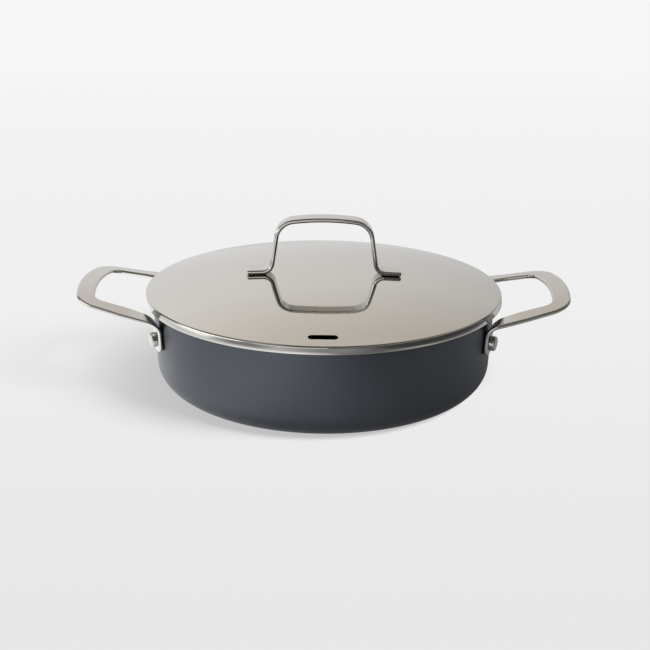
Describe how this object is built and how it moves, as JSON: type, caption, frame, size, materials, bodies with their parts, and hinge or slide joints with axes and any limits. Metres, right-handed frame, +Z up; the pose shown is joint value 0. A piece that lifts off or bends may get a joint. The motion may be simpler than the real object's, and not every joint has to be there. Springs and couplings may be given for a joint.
{
  "type": "saute pan",
  "caption": "Low round saute pan with a dark anodised wall, riveted steel loop handles and a lift-off polished domed lid with a steam vent and a bent strap handle.",
  "frame": {"origin": "middle of the base plate's underside, where the pan stands", "axes": "+Z up along the pan's axis, +X out through the right handle, -Y towards the side of the lid's steam vent"},
  "size_m": [0.408, 0.2978, 0.1377],
  "materials": {
    "anodised_body": "dark satin hard anodising",
    "base_steel": "turned satin",
    "handle_steel": "polished",
    "rivet_metal": "satin",
    "lid_steel": "polished, with a fine circular grain"
  },
  "bodies": {
    "pan": {"pan_body": "anodised_body", "induction_base_plate": "base_steel", "right_handle": "handle_steel", "left_handle": "handle_steel", "rivet_right_front": "rivet_metal", "rivet_right_rear": "rivet_metal", "rivet_left_front": "rivet_metal", "rivet_left_rear": "rivet_metal"},
    "lid": {"lid": "lid_steel", "lid_handle": "handle_steel"}
  },
  "joints": [
    {"name": "lid_lift", "type": "slide", "parent": "pan", "child": "lid", "axis": [0, 0, 1], "range_m": [0, 0.15]}
  ]
}
